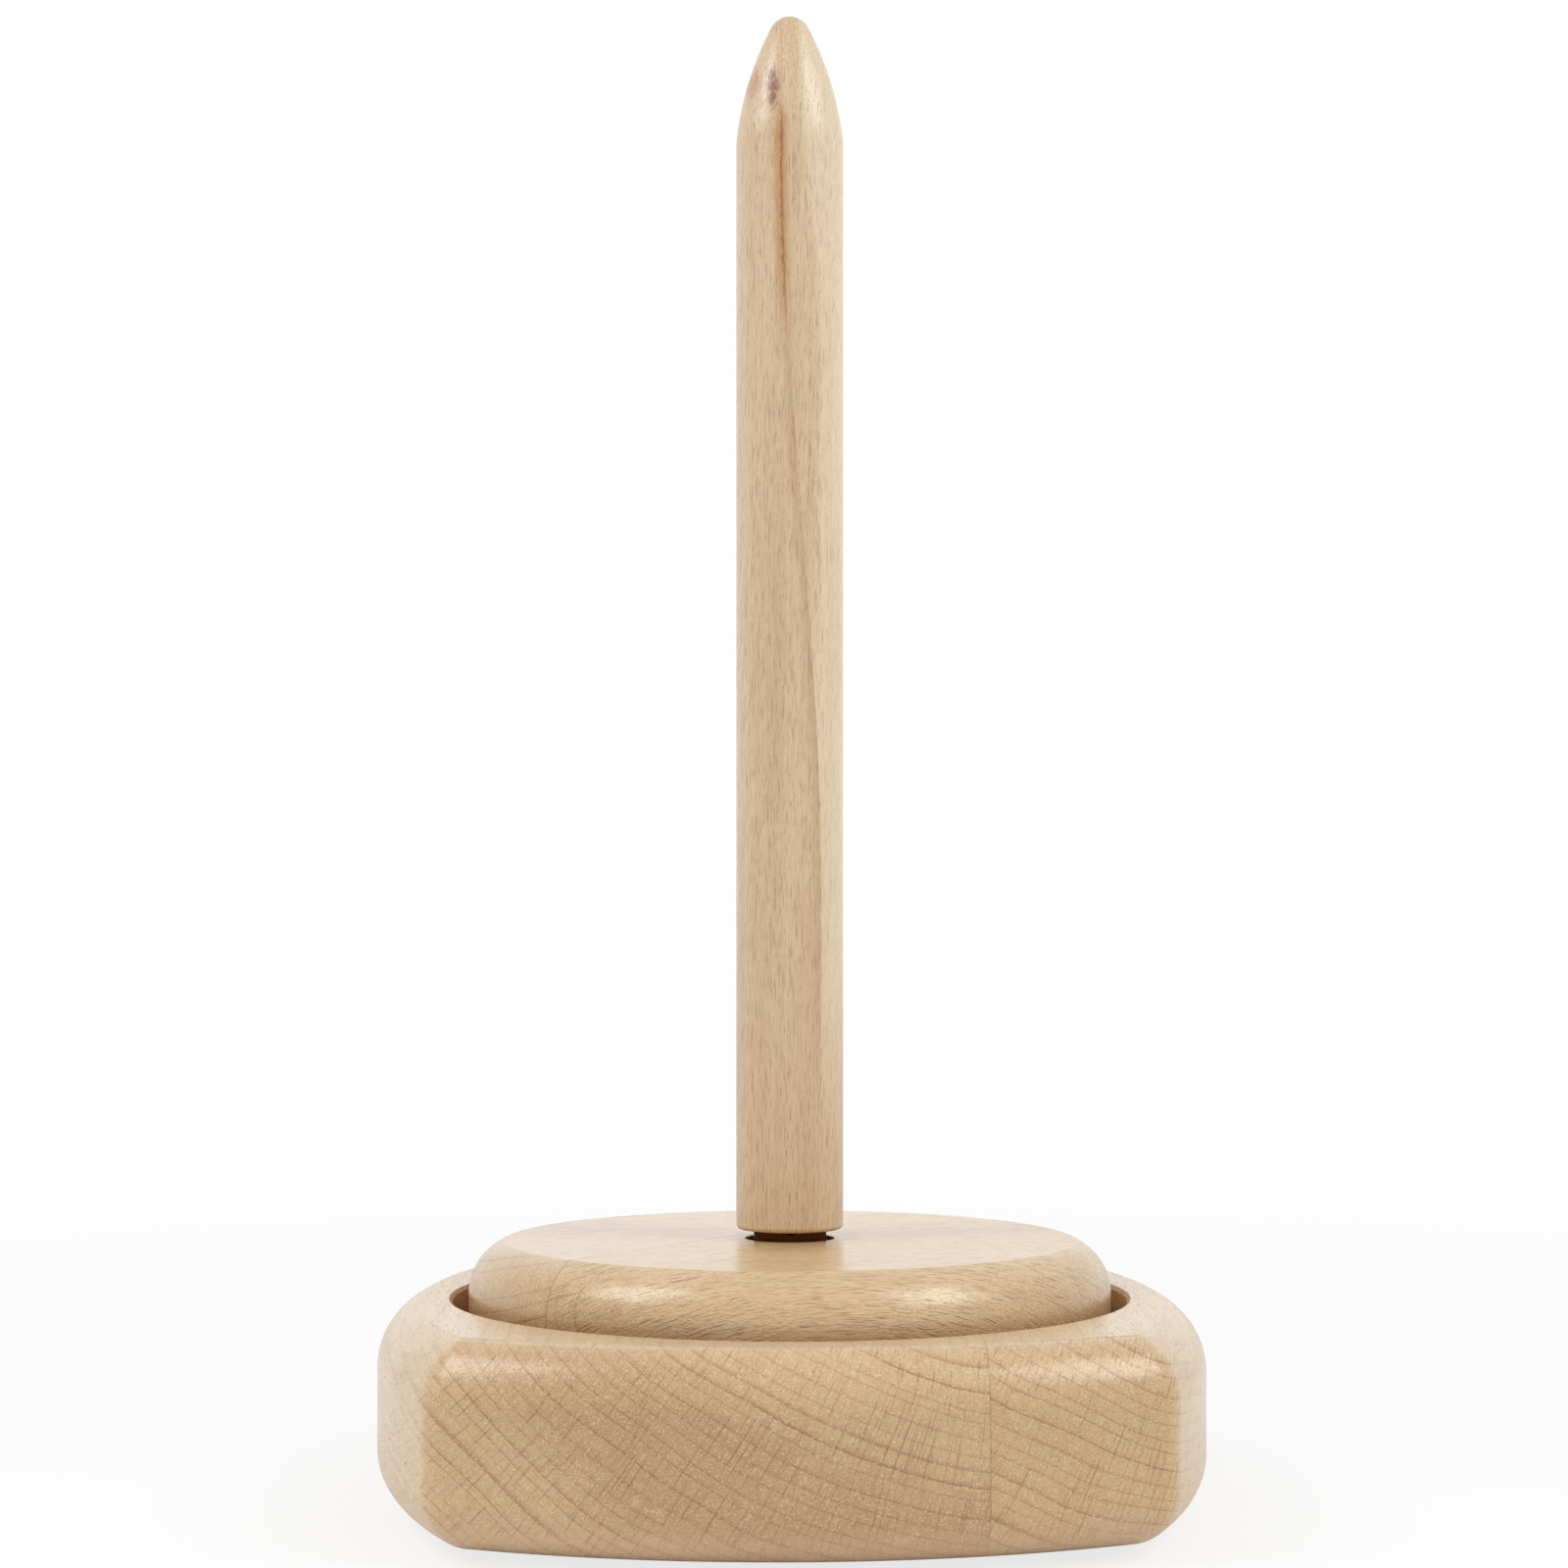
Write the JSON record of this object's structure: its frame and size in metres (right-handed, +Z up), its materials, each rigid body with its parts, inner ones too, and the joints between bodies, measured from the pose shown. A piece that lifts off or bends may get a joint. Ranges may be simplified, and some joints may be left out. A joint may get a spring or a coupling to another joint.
{
  "type": "rotating yarn holder",
  "caption": "Wooden yarn holder: an upright pointed spindle on a round turntable that turns on a ball bearing in a low square block with bowed sides.",
  "frame": {"origin": "on the floor, on the turning axis, midway between the four foot pads", "axes": "+Z up along the spindle; -Y towards the front face seen in the picture, whose glue line is on the +X side; the block's sides face X and Y"},
  "size_m": [0.114, 0.114, 0.2072],
  "materials": {
    "block_beech": "pale beech, satin lacquer",
    "disc_beech": "pale beech, satin lacquer",
    "spindle_beech": "pale beech dowel, satin lacquer",
    "bearing_steel": "ground bearing steel",
    "shield_steel": "pressed steel sheet",
    "zinc_steel": "bright zinc plate",
    "dark_steel": "brown-black oxide",
    "insert_brass": "plain turned brass",
    "cage_nylon": "natural nylon",
    "plug_plastic": "brown moulded plastic",
    "pad_rubber": "matt, slightly grained"
  },
  "bodies": {
    "base": {"base_wide_stave": "block_beech", "base_narrow_stave": "block_beech", "foot_pads": "pad_rubber", "bore_plug": "plug_plastic", "bearing_outer_ring": "bearing_steel", "bearing_upper_shield": "shield_steel", "bearing_lower_shield": "shield_steel", "keeper_plate": "zinc_steel", "keeper_screws": "zinc_steel"},
    "turntable": {"disc_main_stave": "disc_beech", "disc_side_stave": "disc_beech", "spindle": "spindle_beech", "spindle_insert": "insert_brass", "axle_bolt": "zinc_steel", "head_washer": "zinc_steel", "bearing_inner_ring": "bearing_steel", "spacer_ring": "zinc_steel", "support_washer": "zinc_steel", "clamp_washer": "zinc_steel", "spring_washer": "dark_steel", "clamp_nut": "dark_steel"},
    "ball_set": {"bearing_balls": "bearing_steel", "bearing_cage": "cage_nylon"}
  },
  "joints": [
    {"name": "turntable_spin", "type": "hinge", "parent": "base", "child": "turntable", "pos_m": [0, 0, 0.0141], "axis": [0, 0, 1], "continuous": true},
    {"name": "cage_orbit", "type": "hinge", "parent": "base", "child": "ball_set", "pos_m": [0, 0, 0.0141], "axis": [0, 0, 1], "continuous": true}
  ],
  "couplings": [
    {"joint": "cage_orbit", "follows": "turntable_spin", "ratio": 0.36}
  ]
}
